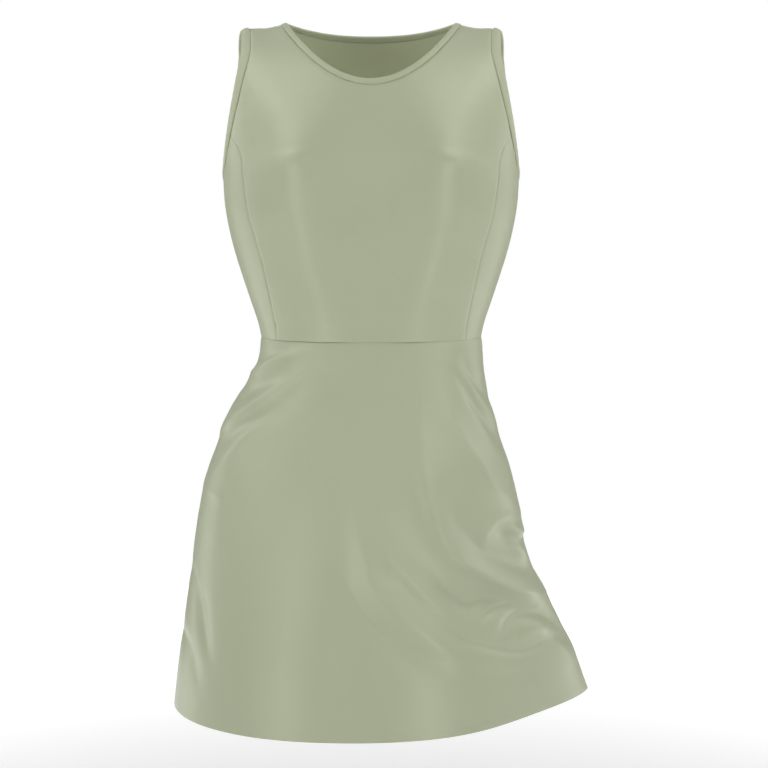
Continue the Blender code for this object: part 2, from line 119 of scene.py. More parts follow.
# Seams from the waist up to the armholes: level, turn from the centre line. From SEAM_MEET of their
# height they bend to end on the armhole's seam.
SEAM_MEET = 0.8
FRONT_SEAM_ROWS = (
    (0.00, 53.5),
    (0.25, 50.8),
    (0.50, 49.6),
    (0.75, 51.6),
    (0.95, 53.4),
    (1.06, 55.4),
    (1.12, 59.4),
    (1.16, 66.0),
)
BACK_SEAM_ROWS = (
    (0.00, 46.0),
    (0.30, 46.5),
    (0.60, 48.5),
    (0.90, 52.0),
    (1.06, 57.0),
    (1.18, 66.0),
)

# Skirt sections: height, left edge, right edge, middle, front depth, back depth, swing of the right
# edge towards the back, roundness of the right side. Below the waist seam the skirt rolls out a little.
SKIRT_ROWS = (
    (-0.360, 0.1275, 0.1275, 0.000, 0.095, 0.085, 0.000, 2.30),
    (-0.382, 0.1285, 0.1280, 0.000, 0.098, 0.096, 0.000, 2.25),
    (-0.405, 0.1365, 0.1300, 0.000, 0.102, 0.106, 0.000, 2.20),
    (-0.430, 0.1545, 0.1345, -0.001, 0.107, 0.114, 0.000, 2.15),
    (-0.465, 0.1685, 0.1445, -0.003, 0.114, 0.120, 0.001, 2.10),
    (-0.510, 0.1860, 0.1590, -0.006, 0.123, 0.127, 0.002, 2.05),
    (-0.565, 0.2000, 0.1715, -0.010, 0.133, 0.132, 0.004, 1.95),
    (-0.625, 0.2092, 0.1815, -0.014, 0.143, 0.136, 0.007, 1.85),
    (-0.680, 0.2168, 0.2085, -0.018, 0.152, 0.139, 0.011, 1.76),
    (-0.735, 0.2245, 0.2345, -0.021, 0.161, 0.141, 0.015, 1.68),
    (-0.799, 0.2315, 0.2575, -0.024, 0.170, 0.143, 0.018, 1.60),
)
SKIRT_ROUNDNESS = 2.2
WAIST_ROLL = 0.0020
WAIST_ROLL_LENGTH = 0.007
SIDE_BLEND = 0.18
RIGHT_ROUND = 0.9
MEAN_RADIUS = 0.19

# Folds of the skirt's front, as they lie in the front view: how far they stand out (below zero for a
# trough), how wide they spread to the left and to the right of their run, and the (x, height) points
# that they run through
FRONT_FOLDS = (
    # Left hip
    (0.0050, 0.0040, 0.0090, ((-0.158, -0.414), (-0.146, -0.408), (-0.132, -0.400), (-0.118, -0.389),
                              (-0.100, -0.379), (-0.083, -0.371), (-0.064, -0.366))),
    (0.0062, 0.0090, 0.0038, ((-0.190, -0.488), (-0.177, -0.474), (-0.156, -0.453), (-0.143, -0.443),
                              (-0.125, -0.430), (-0.111, -0.420), (-0.092, -0.406), (-0.070, -0.391))),
    (-0.0030, 0.0060, 0.0080, ((-0.170, -0.480), (-0.146, -0.459), (-0.125, -0.445), (-0.103, -0.432),
                               (-0.079, -0.416))),
    (-0.0030, 0.0080, 0.0080, ((-0.160, -0.440), (-0.138, -0.420), (-0.104, -0.401))),
    (0.0050, 0.0110, 0.0160, ((-0.190, -0.535), (-0.170, -0.507), (-0.150, -0.480), (-0.132, -0.463),
                              (-0.105, -0.452))),
    (0.0020, 0.0100, 0.0180, ((-0.145, -0.480), (-0.160, -0.510), (-0.170, -0.545), (-0.177, -0.590))),
    (0.0020, 0.0050, 0.0050, ((-0.194, -0.530), (-0.180, -0.536), (-0.168, -0.538))),
    # Lower left
    (-0.0058, 0.0090, 0.0066, ((-0.211, -0.625), (-0.203, -0.649), (-0.199, -0.662), (-0.193, -0.690),
                               (-0.185, -0.720))),
    (-0.0032, 0.0074, 0.0066, ((-0.223, -0.700), (-0.209, -0.719), (-0.198, -0.752))),
    # Right hip
    (-0.0043, 0.0041, 0.0049, ((0.103, -0.380), (0.115, -0.400), (0.125, -0.416), (0.137, -0.436))),
    (-0.0049, 0.0041, 0.0057, ((0.094, -0.394), (0.110, -0.416), (0.125, -0.440), (0.139, -0.463),
                               (0.158, -0.496))),
    (0.0029, 0.0066, 0.0057, ((0.100, -0.392), (0.118, -0.420), (0.138, -0.451), (0.152, -0.475))),
    (0.0058, 0.0098, 0.0131, ((0.078, -0.425), (0.092, -0.453), (0.107, -0.480), (0.124, -0.503),
                              (0.139, -0.529), (0.154, -0.545), (0.175, -0.571))),
    # The main swoop, its trough, and the loop below it
    (0.0123, 0.0213, 0.0115, ((0.055, -0.450), (0.056, -0.490), (0.062, -0.523), (0.074, -0.567),
                              (0.086, -0.595), (0.100, -0.611), (0.118, -0.622), (0.138, -0.634),
                              (0.161, -0.646), (0.180, -0.655), (0.196, -0.662))),
    (-0.0090, 0.0120, 0.0100, ((0.078, -0.628), (0.097, -0.648), (0.113, -0.655), (0.131, -0.652),
                               (0.150, -0.654), (0.166, -0.664))),
    (-0.0030, 0.0120, 0.0120, ((0.084, -0.508), (0.094, -0.556), (0.116, -0.588))),
    (-0.0080, 0.0110, 0.0090, ((0.110, -0.574), (0.127, -0.595), (0.150, -0.612), (0.175, -0.626),
                               (0.194, -0.641))),
    (-0.0049, 0.0049, 0.0049, ((0.122, -0.676), (0.135, -0.668), (0.154, -0.664), (0.176, -0.668))),
    (-0.0072, 0.0060, 0.0060, ((0.149, -0.694), (0.157, -0.680), (0.172, -0.675), (0.193, -0.678),
                               (0.210, -0.690), (0.231, -0.714))),
    (0.0043, 0.0098, 0.0098, ((0.168, -0.694), (0.190, -0.696), (0.206, -0.703))),
    (-0.0052, 0.0082, 0.0049, ((0.077, -0.672), (0.101, -0.690), (0.139, -0.706), (0.172, -0.717),
                               (0.195, -0.716), (0.216, -0.713), (0.231, -0.722))),
    # The main swoop's crest, where it turns towards the right edge
    (0.0036, 0.0050, 0.0030, ((0.092, -0.604), (0.118, -0.625), (0.138, -0.637), (0.161, -0.649),
                              (0.178, -0.657), (0.188, -0.660))),
    # Lumps beside the right edge
    (0.0032, 0.0049, 0.0057, ((0.133, -0.598), (0.129, -0.583), (0.138, -0.569), (0.152, -0.564),
                              (0.170, -0.570))),
    (-0.0043, 0.0049, 0.0049, ((0.145, -0.582), (0.158, -0.589), (0.170, -0.594))),
    (0.0072, 0.0057, 0.0049, ((0.152, -0.572), (0.166, -0.584), (0.178, -0.592))),
    (0.0064, 0.0060, 0.0057, ((0.160, -0.592), (0.170, -0.606), (0.180, -0.621), (0.191, -0.638))),
    # Second and third swoops
    (0.0058, 0.0220, 0.0115, ((-0.016, -0.520), (-0.012, -0.567), (-0.006, -0.598), (0.005, -0.632),
                              (0.034, -0.662), (0.065, -0.688), (0.104, -0.716))),
    (-0.0058, 0.0115, 0.0115, ((-0.034, -0.612), (-0.010, -0.655), (0.023, -0.687), (0.056, -0.707),
                               (0.084, -0.720))),
    (0.0049, 0.0131, 0.0098, ((0.004, -0.556), (0.019, -0.594), (0.035, -0.616), (0.063, -0.645),
                              (0.082, -0.659), (0.104, -0.670))),
    (-0.0043, 0.0098, 0.0082, ((0.028, -0.612), (0.045, -0.639), (0.065, -0.655), (0.090, -0.664))),
    # Soft fall below the waist and above the hem
    (0.0020, 0.0180, 0.0180, ((0.028, -0.385), (0.034, -0.430), (0.045, -0.480))),
    (0.0012, 0.0200, 0.0200, ((-0.090, -0.600), (-0.096, -0.690), (-0.100, -0.780))),
    (-0.0012, 0.0180, 0.0180, ((-0.046, -0.640), (-0.048, -0.710), (-0.050, -0.790))),
    (0.0032, 0.0115, 0.0115, ((0.206, -0.706), (0.224, -0.728), (0.240, -0.752))),
    (-0.0029, 0.0131, 0.0148, ((0.120, -0.724), (0.150, -0.740), (0.190, -0.748))),
)

# The same for the skirt's back
BACK_FOLDS = (
    (0.0040, 0.0090, 0.0120, ((-0.168, -0.462), (-0.132, -0.436), (-0.088, -0.412))),
    (-0.0034, 0.0100, 0.0080, ((-0.150, -0.430), (-0.118, -0.411), (-0.080, -0.394))),
    (0.0022, 0.0080, 0.0100, ((-0.128, -0.396), (-0.106, -0.384), (-0.078, -0.376))),
    (-0.0030, 0.0070, 0.0090, ((0.098, -0.388), (0.118, -0.418), (0.140, -0.456))),
    (0.0024, 0.0100, 0.0080, ((0.104, -0.384), (0.124, -0.410), (0.138, -0.436))),
    (0.0050, 0.0180, 0.0130, ((0.052, -0.430), (0.072, -0.505), (0.100, -0.570), (0.142, -0.618))),
    (0.0070, 0.0220, 0.0140, ((0.010, -0.520), (0.022, -0.610), (0.060, -0.668), (0.120, -0.702),
                              (0.166, -0.716))),
    (-0.0055, 0.0150, 0.0150, ((0.058, -0.560), (0.086, -0.622), (0.136, -0.655))),
    (0.0055, 0.0180, 0.0180, ((-0.086, -0.560), (-0.096, -0.660), (-0.104, -0.780))),
    (-0.0045, 0.0160, 0.0160, ((-0.046, -0.600), (-0.050, -0.690), (-0.052, -0.785))),
    (-0.0040, 0.0140, 0.0140, ((-0.140, -0.610), (-0.152, -0.700), (-0.160, -0.785))),
    (0.0045, 0.0150, 0.0150, ((0.150, -0.690), (0.178, -0.722), (0.205, -0.760))),
    (0.0030, 0.0120, 0.0100, ((-0.176, -0.520), (-0.150, -0.492), (-0.116, -0.470))),
    (-0.0026, 0.0090, 0.0090, ((0.100, -0.668), (0.130, -0.684), (0.168, -0.690))),
)

# Soft shaping of the bodice's front, at both sides: the bust points, ridges from there to the waist,
# and hollows beside them and before the armholes
BODICE_FOLDS = (
    (0.0034, 0.0160, 0.0160, ((0.087, -0.144), (0.085, -0.156), (0.083, -0.168))),
    (0.0014, 0.0090, 0.0120, ((0.088, -0.160), (0.112, -0.168), (0.138, -0.178))),
    (-0.0026, 0.0180, 0.0220, ((0.020, -0.214), (0.060, -0.212), (0.098, -0.200))),
    (0.0030, 0.0180, 0.0180, ((0.086, -0.180), (0.081, -0.233), (0.071, -0.277), (0.055, -0.315),
                              (0.045, -0.352))),
    (-0.0022, 0.0160, 0.0160, ((0.104, -0.215), (0.102, -0.253), (0.096, -0.290))),
    (-0.0022, 0.0160, 0.0160, ((0.140, -0.110), (0.128, -0.136), (0.116, -0.156))),
    (0.0016, 0.0140, 0.0140, ((0.126, -0.060), (0.112, -0.086), (0.100, -0.115))),
)

# Soft shaping of the bodice's back, at both sides
BODICE_BACK_FOLDS = (
    (-0.0026, 0.0180, 0.0180, ((0.062, -0.360), (0.070, -0.310), (0.078, -0.250))),
    (0.0020, 0.0160, 0.0160, ((0.030, -0.360), (0.034, -0.330), (0.038, -0.290))),
    (0.0020, 0.0200, 0.0200, ((0.116, -0.070), (0.104, -0.110), (0.096, -0.160))),
)

# How a fold fades at its ends and its sides, how round the crests of the skirt's folds and of the
# bodice's are, and how the folds fade towards the bodice's sides and the waist seam
FOLD_STEPS = 6
FOLD_TAIL = 0.04
FOLD_FADE = 0.7
FOLD_REACH = 3.0
FOLD_POWER = 1.35
FOLD_CREST = 0.0012
SOFT_CREST = 0.008
BODICE_BLEND = (0.05, 0.4)
WAIST_CALM = 0.02

# Slow unevenness of the cloth, which is calm beside the seams, and puckers there. The waist seam's are
# softer, as if it were a little further away.
WAVE_RISE = 0.0005
WAVE_LENGTH = 0.055
PUCKER_RISE = 0.00045
PUCKER_LENGTH = 0.0085
PUCKER_WIDTH = 0.007
WAVE_SEED = 3.1
PUCKER_SEED = 8.7
BAND_SEED = 5.3
CALM_WIDTH = 0.012
WAIST_SOFTNESS = 0.0025

# Grid cells, the closer steps beside an edge, and the steps along a run and about a normal
BODICE_CELL = 0.0036
SKIRT_CELL = 0.0025
BACK_CELL = 0.0042
BAND_CELL = 0.0026
CLOSE_STEPS = (0.0007, 0.0015, 0.0026, 0.0040)
RUN_STEPS = 400
NORMAL_TURN = 0.6
NORMAL_LEVEL = 0.006

# A band's rows, as shares of its width from its edge, and how its wall and its seam compare with a
# panel's
BAND_SHARES = (1.0, 0.93, 0.8, 0.6, 0.4, 0.2, 0.07, 0.0)
BAND_EDGE_SHARE = 0.30
BAND_CALM = 0.5

# Knit: width and height of a stitch, the scales and shares of its noises, and its relief
WALE = 0.00062
COURSE = 0.00048
SLOW_NOISE = 9.0
FINE_NOISE = 420.0
TONE_SHARE = 0.35
TONE_START = 0.35
GRAIN_SHARE = 1.6
KNIT_RELIEF = 0.00003

# Painted shade along a seam, where its crease lies in shadow: how much darker it makes the jersey, and
# from where to where it fades, in millimetres
SEAM_PAINTED_SHADE = 0.90
SEAM_PAINTED_SHADE_START = 0.1
SEAM_PAINTED_SHADE_END = 1.2

# Kinds of jersey: light tone, dark tone, roughness, sheen. The two kinds for the inner faces are much
# lighter copies of the outer ones: painted light that brightens the shaded inside of the dress, the
# band's less so because its inside gets more light.
JERSEYS = {
    "jersey_face": ((0.40, 0.43, 0.30, 1.0), (0.375, 0.405, 0.28, 1.0), 0.34, 0.25),
    "jersey_inside_painted_light": ((0.68, 0.715, 0.525, 1.0), (0.65, 0.685, 0.50, 1.0), 0.8, 0.1),
    "jersey_band": ((0.395, 0.425, 0.295, 1.0), (0.37, 0.40, 0.275, 1.0), 0.55, 0.25),
    "band_inside_painted_light": ((0.53, 0.56, 0.41, 1.0), (0.505, 0.535, 0.39, 1.0), 0.8, 0.1),
}
SPECULAR_LEVEL = 0.54
SPECULAR_TINT = (0.93, 0.97, 0.78, 1.0)
SHEEN_ROUGHNESS = 0.45
SHEEN_TINT = (0.86, 0.90, 0.72, 1.0)

# Lights: name, azimuth from the front, elevation, size, and power in watts
LIGHT_TARGET = Vector((0.0, 0.0, -0.38))
LIGHT_DISTANCE = 2.1
LIGHT_ROWS = (
    ("fill", 0, 18, (0.8, 0.9), 1.4),
    ("near", 28, 4, (0.4, 0.4), 1.2),
    ("strip", 31, -9, (0.16, 0.85), 4.8),
    ("side", 58, 18, (0.9, 0.9), 5.8),
    ("high", 52, 50, (0.9, 0.9), 8.4),
    ("crown", 82, 46, (0.9, 0.9), 6.4),
    ("low", 112, -12, (0.8, 0.9), 4.0),
    ("rim", 112, 18, (0.8, 0.9), 4.2),
    ("behind", 120, 46, (0.9, 0.9), 5.6),
    ("back", 180, 20, (0.9, 0.9), 7.0),
)
AIR_STRENGTH = 0.11
SURROUND_STRENGTH = 1.0

# The floor: its level, radius and sides, how it glows outside its plain middle, up to its rim, where
# it meets the white surround, and its finish
FLOOR_LEVEL = -1.15
FLOOR_RADIUS = 2.4
FLOOR_SIDES = 96
FLOOR_PLAIN = 0.5
FLOOR_RIM_GLOW = 0.9
FLOOR_COLOUR = (0.93, 0.93, 0.93, 1.0)
FLOOR_MOTTLE_SCALE = 2.0
FLOOR_MOTTLE = 0.985
FLOOR_ROUGHNESS = 0.9

# Camera: the photograph's viewing angle, with its tilt below level in radians and its lens in
# millimetres
CAMERA_PLACE = (0.0149, -2.3, -0.1746)
CAMERA_TILT = 0.1049
CAMERA_LENS = 92.34
CAMERA_SENSOR = 36.0
CAMERA_CLIP = (0.05, 50.0)


def follow(rows, places):
    """The other columns of a table at places in its first column, on a smooth curve."""
    table = np.array(sorted(rows), float)
    stops, values = table[:, 0], table[:, 1:]
    slopes = np.gradient(values, stops, axis=0)
    places = np.clip(places, stops[0], stops[-1])
    low = np.clip(np.searchsorted(stops, places, side="right") - 1, 0, len(stops) - 2)
    step = (stops[low + 1] - stops[low])[..., None]
    s = (places - stops[low])[..., None] / step
    return (
        (2 * s**3 - 3 * s**2 + 1) * values[low]
        + (s**3 - 2 * s**2 + s) * step * slopes[low]
        + (3 * s**2 - 2 * s**3) * values[low + 1]
        + (s**3 - s**2) * step * slopes[low + 1]
    )


def columns(rows, places):
    """The columns of follow, apart."""
    return np.moveaxis(follow(rows, places), -1, 0)


def ease(values, start, end):
    """0 before start, 1 after end, and a smooth rise between."""
    s = np.clip((values - start) / (end - start), 0, 1)
    return s * s * (3 - 2 * s)


def section(turns, roundness):
    """Across and ahead on a unit section: a circle at roundness 2, squarer above, pointed below."""
    angles = np.radians(turns)
    across, ahead = np.sin(angles), np.cos(angles)
    size = (np.abs(across) ** roundness + np.abs(ahead) ** roundness) ** (-1 / roundness)
    return across * size, ahead * size


def turn_across(share, roundness):
    """The turn, in front, at which a unit section is this far across."""
    ahead = np.maximum(1 - np.abs(share) ** roundness, 0) ** (1 / roundness)
    return np.degrees(np.arctan2(share, ahead))


def nape_height(x):
    """How far the shoulder line rises towards the nape."""
    return NAPE_RISE * np.maximum(1 - (x / NAPE_HALF_WIDTH) ** 2, 0) ** 2


def shoulder_height(x):
    """The shoulder line's height."""
    tip = SHOULDER_TIP_DROP * ease(np.abs(x), SHOULDER_TIP_START, SHOULDER_TIP)
    return SHOULDER_LEVEL + nape_height(x) - nape_height(NECK_HALF_WIDTH) - tip


def cup_swell(x, height):
    """How far the bust cups stand out of the plain front."""
    spread = np.where(height > CUP_LEVEL, CUP_ABOVE, CUP_BELOW)
    side = np.exp(-(((np.abs(x) - CUP_OFFSET) / CUP_SPREAD) ** 2))
    return CUP_SWELL * side * np.exp(-(((height - CUP_LEVEL) / spread) ** 2))


def bodice(turns, levels):
    """Points of the bodice."""
    across, ahead = section(turns, BODICE_ROUNDNESS)
    height = WAIST_LEVEL + np.minimum(levels, 1) * (BUST_LEVEL - WAIST_LEVEL)
    half_width, front_depth, back_depth = columns(BODICE_ROWS, height)
    x = half_width * across
    arch = np.maximum(levels - 1, 0) * math.pi / 2
    height = height + (shoulder_height(x) - BUST_LEVEL) * np.sin(arch)
    share = np.where(ahead > 0, FRONT_ARCH, BACK_ARCH)
    lean = np.cos(arch) * (share + (1 - share) * np.abs(np.cos(arch)))
    depth = np.where(ahead > 0, front_depth, back_depth)
    swell = cup_swell(x, height) * ease(ahead, 0, CUP_ASIDE) * ease(lean, 0, CUP_SHOULDER)
    return np.stack((x, -depth * ahead * lean - swell, height), -1)


def skirt(turns, levels):
    """Points of the skirt, without its folds."""
    height = HEM_LEVEL + levels * (WAIST_LEVEL - HEM_LEVEL)
    left, right, middle, front, back, swing, right_round = columns(SKIRT_ROWS, height)
    aside = np.sin(np.radians(turns))
    to_right = np.maximum(aside, 0)
    roundness = SKIRT_ROUNDNESS + (right_round - SKIRT_ROUNDNESS) * ease(to_right, 0, RIGHT_ROUND)
    across, ahead = section(turns, roundness)
    roll = WAIST_ROLL * (1 - np.exp((height - WAIST_LEVEL) / WAIST_ROLL_LENGTH))
    reach = np.where(across > 0, right - middle, left + middle) + roll
    depth = np.where(ahead > 0, front, back) + roll
    rise = np.where(across > 0, HEM_RISE_RIGHT, HEM_RISE_LEFT)
    height = height + rise * aside**2 * (1 - levels) ** 2
    return np.stack((middle + reach * across, -depth * ahead + swing * to_right**3, height), -1)


def normals_of(surface, places):
    """Outward normals of a surface."""
    turns, levels = places[..., 0], places[..., 1]
    round_body = surface(turns + NORMAL_TURN, levels) - surface(turns - NORMAL_TURN, levels)
    upwards = surface(turns, levels + NORMAL_LEVEL) - surface(turns, levels - NORMAL_LEVEL)
    across = np.cross(round_body, upwards)
    return across / np.linalg.norm(across, axis=-1, keepdims=True)


def fold_path(points):
    """A smooth run through a fold's few points."""
    rows = [(index, *point) for index, point in enumerate(points)]
    count = (len(points) - 1) * FOLD_STEPS
    return follow(rows, np.arange(count + 1) / FOLD_STEPS)


def fold_height(folds, x, height, crest):
    """How far the folds push the cloth out at flat arrays of places in the front view."""
    total = np.zeros_like(x)
    for rise, left_spread, right_spread, points in folds:
        path = fold_path(points)
        reach = FOLD_REACH * max(left_spread, right_spread)
        low, high = path.min(0) - reach, path.max(0) + reach
        near = (x > low[0]) & (x < high[0]) & (height > low[1]) & (height < high[1])
        spots = np.stack((x[near], height[near]), -1)[:, None]
        starts, runs = path[:-1], np.diff(path, axis=0)
        along = np.clip(((spots - starts) * runs).sum(-1) / (runs**2).sum(-1), 0, 1)
        offsets = spots - starts - runs * along[..., None]
        gaps = np.hypot(offsets[..., 0], offsets[..., 1])
        nearest = gaps.argmin(1)
        pick = (np.arange(len(nearest)), nearest)
        side = runs[nearest, 0] * offsets[pick][:, 1] - runs[nearest, 1] * offsets[pick][:, 0]
        spread = np.where(side > 0, left_spread, right_spread)
        place = (nearest + along[pick]) / len(runs)
        fade = np.sin(math.pi * (FOLD_TAIL + (1 - 2 * FOLD_TAIL) * place)) ** FOLD_FADE
        away = np.hypot(gaps[pick], crest) - crest
        total[near] += rise * fade * np.exp(-((away / spread) ** FOLD_POWER))
    return total


def spaced(surface, curve):
    """A run: rows of (length so far, turn, level) along curve(0 to 1) on a surface."""
    places = np.stack(curve(np.linspace(0, 1, RUN_STEPS + 1)), -1)
    points = surface(places[:, 0], places[:, 1])
    lengths = np.linalg.norm(np.diff(points, axis=0), axis=1)
    return np.column_stack((np.concatenate(([0.0], np.cumsum(lengths))), places))


def joined(*runs):
    """One run of several that follow each other. Turns may jump where two of them meet."""
    rows = [runs[0]]
    for run in runs[1:]:
        rows.append(run + (rows[-1][-1, 0], 0, 0))
    return np.concatenate(rows)


def turned_round(run):
    """The run from its other end."""
    back = run[::-1].copy()
    back[:, 0] = run[-1, 0] - back[:, 0]
    return back


def other_side(run, about):
    """A run mirrored to -X: turns are taken about 0 in front and about 180 at the back."""
    mirrored = run.copy()
    mirrored[:, 1] = 2 * about - run[:, 1]
    return mirrored


def at(run, shares):
    """Places at shares of a run's length."""
    wanted = np.asarray(shares) * run[-1, 0]
    return np.stack([np.interp(wanted, run[:, 0], run[:, column]) for column in (1, 2)], -1)


def straight(surface, start, end):
    """The run between two places."""
    start, end = np.asarray(start), np.asarray(end)
    return spaced(surface, lambda s: (start + (end - start) * s[:, None]).T)


def steps(length, cell, kinks=()):
    """Shares of a length: even cells, every kink, and closer steps beside the ends."""
    first = np.array(CLOSE_STEPS) / length
    last = 1 - np.array(CLOSE_STEPS[::-1]) / length
    stops = [0.0, *first, *sorted(kinks), *last, 1.0]
    shares = []
    for low, high in zip(stops, stops[1:]):
        count = max(int(math.ceil((high - low) * length / cell)), 1)
        shares.extend(np.linspace(low, high, count + 1)[:-1])
    return np.array([*shares, 1.0])


def patch(bottom, top, first, last, u, v):
    """A grid of places between four runs that meet at their corners, at shares u and v."""
    low, high = at(bottom, u)[None], at(top, u)[None]
    near, far = at(first, v)[:, None], at(last, v)[:, None]
    u, v = u[None, :, None], v[:, None, None]
    ruled = (1 - v) * low + v * high + (1 - u) * near + u * far
    corners = (1 - u) * (1 - v) * low[:, :1] + u * (1 - v) * low[:, -1:]
    corners = corners + (1 - u) * v * high[:, :1] + u * v * high[:, -1:]
    return ruled - corners


def neck_run(front, band):
    """The neckline, or its band's seam, from -X to +X."""

    def curve(s):
        aside = np.sin(math.pi * (s - 0.5))
        x = (NECK_HALF_WIDTH + band) * aside
        top = shoulder_height(NECK_HALF_WIDTH + band)
        bottom = SHOULDER_LEVEL - (NECK_FRONT_DROP if front else NECK_BACK_DROP) - band
        power = NECK_FRONT_POWER if front else NECK_BACK_POWER
        height = bottom + (top - bottom) * np.abs(aside) ** power
        lift = (height - BUST_LEVEL) / (shoulder_height(x) - BUST_LEVEL)
        level = 1 + np.degrees(np.arcsin(np.minimum(lift, 1))) / 90
        turn = turn_across(x / BODICE_ROWS[-1][1], BODICE_ROUNDNESS)
        return (turn if front else 180 - turn), level

    return spaced(bodice, curve)


def armhole(rises, front, band):
    """Places on the armhole at +X, or on its band's seam. Rise runs from 0, underarm, to 1."""
    share = band / ARM_BAND_WIDTH
    bottom = ARMHOLE_BOTTOM - ARM_BAND_LEVELS * share
    levels = bottom + (2 - bottom) * rises**2
    reach = (ARMHOLE_FRONT_REACH if front else ARMHOLE_BACK_REACH) + ARM_BAND_TURN * share
    climb = np.minimum((levels - bottom) / (ARMHOLE_DEEPEST - bottom), 1)
    turns = 90 - reach * np.sqrt(1 - (1 - climb) ** ARMHOLE_FULLNESS)
    tip = turn_across((SHOULDER_TIP - band) / BODICE_ROWS[-1][1], BODICE_ROUNDNESS)
    past = np.maximum(levels - ARMHOLE_DEEPEST, 0) / (2 - ARMHOLE_DEEPEST)
    turns = turns + (tip - turns) * past**2
    return (turns if front else 180 - turns), levels


def junction_rise(front):
    """Where on the armhole's seam the seam from the waist ends."""
    end = (FRONT_SEAM_ROWS if front else BACK_SEAM_ROWS)[-1][0]
    bottom = ARMHOLE_BOTTOM - ARM_BAND_LEVELS
    return ((end - bottom) / (2 - bottom)) ** 0.5


def waist_to_armhole(front):
    """The seam from the waist to the armhole at +X."""
    rows = FRONT_SEAM_ROWS if front else BACK_SEAM_ROWS
    sign, start = (1, 0) if front else (-1, 180)
    end_turn, end_level = armhole(np.array(junction_rise(front)), front, ARM_BAND_WIDTH)

    def curve(s):
        levels = s * end_level
        turns = start + sign * follow(rows, levels)[..., 0]
        miss = end_turn - (start + sign * follow(rows, end_level)[..., 0])
        return turns + miss * ease(levels, SEAM_MEET * end_level, end_level), levels

    return spaced(bodice, curve)


def armhole_run(start, end, front):
    """The armhole's seam between two rises."""
    return spaced(bodice, lambda s: armhole(start + (end - start) * s, front, ARM_BAND_WIDTH))


def distances(points, edges, soft_edge):
    """Each grid point's distance, along the grid, to the nearest edge named in edges.

    The waist's edge counts as a little further away, because its seam is softer than the others: its
    groove, its puckers and its painted shade are fainter.
    """
    nearest = np.full(points.shape[:2], 1.0)
    for axis, names in ((0, ("bottom", "top")), (1, ("first", "last"))):
        lengths = np.linalg.norm(np.diff(points, axis=axis), axis=-1)
        start = np.zeros_like(np.take(lengths, [0], axis))
        run = np.concatenate((start, np.cumsum(lengths, axis=axis)), axis)
        total = np.take(run, [-1], axis)
        for name, gap in zip(names, (run, total - run)):
            if name in edges:
                nearest = np.minimum(nearest, gap + (WAIST_SOFTNESS if name == soft_edge else 0))
    return nearest


def uneven(points, length, seed):
    """Smooth noise from -1 to 1 over a grid of points."""
    spots = (points / length + seed).reshape(-1, 3)
    return np.array([noise.noise(Vector(spot)) for spot in spots]).reshape(points.shape[:2])


def dressed(points, normals, gaps, push):
    """The cloth's middle surface: folds, slow waves, seam grooves and puckers beside the seams."""
    wave = WAVE_RISE * uneven(points, WAVE_LENGTH, WAVE_SEED)
    pucker = PUCKER_RISE * uneven(points, PUCKER_LENGTH, PUCKER_SEED) * np.exp(-gaps / PUCKER_WIDTH)
    groove = SEAM_DIP * np.exp(-((gaps / SEAM_DIP_WIDTH) ** 2))
    calm = ease(gaps, 0, CALM_WIDTH)
    return points + normals * (push + wave * calm + pucker - groove)[..., None]


def pull_in(points, closed):
    """Draws the grid's free edges in by half a seam gap."""
    drawn = points.copy()
    sides = [(0, 1, 0), (0, -2, -1)] if closed else [(0, 1, 0), (0, -2, -1), (1, 1, 0), (1, -2, -1)]
    for axis, inner, edge in sides:
        pick = [slice(None), slice(None)]
        pick[axis] = edge
        away = np.take(points, inner, axis) - np.take(points, edge, axis)
        drawn[tuple(pick)] += away / np.linalg.norm(away, axis=-1, keepdims=True) * SEAM_GAP / 2
    return drawn


def shell(name, grid, halves, materials):
    """A closed shell of cloth about a grid: its outer and inner faces, and the rims between them."""
    points, normals, places, gaps, closed = grid
    points = pull_in(points, closed)
    rows, count = points.shape[:2]
    offset = normals * halves[..., None]
    vertices = np.concatenate(((points + offset).reshape(-1, 3), (points - offset).reshape(-1, 3)))
    index = np.arange(rows * count).reshape(rows, count)
    if closed:
        index = np.concatenate((index, index[:, :1]), 1)
    inner = index + rows * count
    outside = np.stack((index[:-1, :-1], index[:-1, 1:], index[1:, 1:], index[1:, :-1]), -1)
    inside = np.stack((inner[:-1, :-1], inner[1:, :-1], inner[1:, 1:], inner[:-1, 1:]), -1)
    rims = [
        np.stack((inner[0, :-1], inner[0, 1:], index[0, 1:], index[0, :-1]), -1),
        np.stack((index[-1, :-1], index[-1, 1:], inner[-1, 1:], inner[-1, :-1]), -1),
    ]
    if not closed:
        rims.append(np.stack((index[:-1, 0], index[1:, 0], inner[1:, 0], inner[:-1, 0]), -1))
        rims.append(np.stack((inner[:-1, -1], inner[1:, -1], index[1:, -1], index[:-1, -1]), -1))
    faces = np.concatenate((outside.reshape(-1, 4), inside.reshape(-1, 4), *rims))
    mesh = bpy.data.meshes.new(name)
    mesh.from_pydata(vertices.tolist(), [], faces.tolist())
    for material in materials:
        mesh.materials.append(material)
    # The inner faces take the second material, a lighter copy of the jersey that paints light into the
    # shaded inside
    on_inside = np.zeros(len(faces), np.int32)
    panel_faces = outside.shape[0] * outside.shape[1]
    on_inside[panel_faces : 2 * panel_faces] = 1
    mesh.polygons.foreach_set("material_index", on_inside)
    add_cloth_layers(mesh, faces, points, places, gaps)
    mesh.shade_smooth()
    mesh.set_sharp_from_angle(angle=math.radians(SHARP_ANGLE))
    piece = bpy.data.objects.new(name, mesh)
    bpy.context.scene.collection.objects.link(piece)
    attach(piece, "root")
    return piece


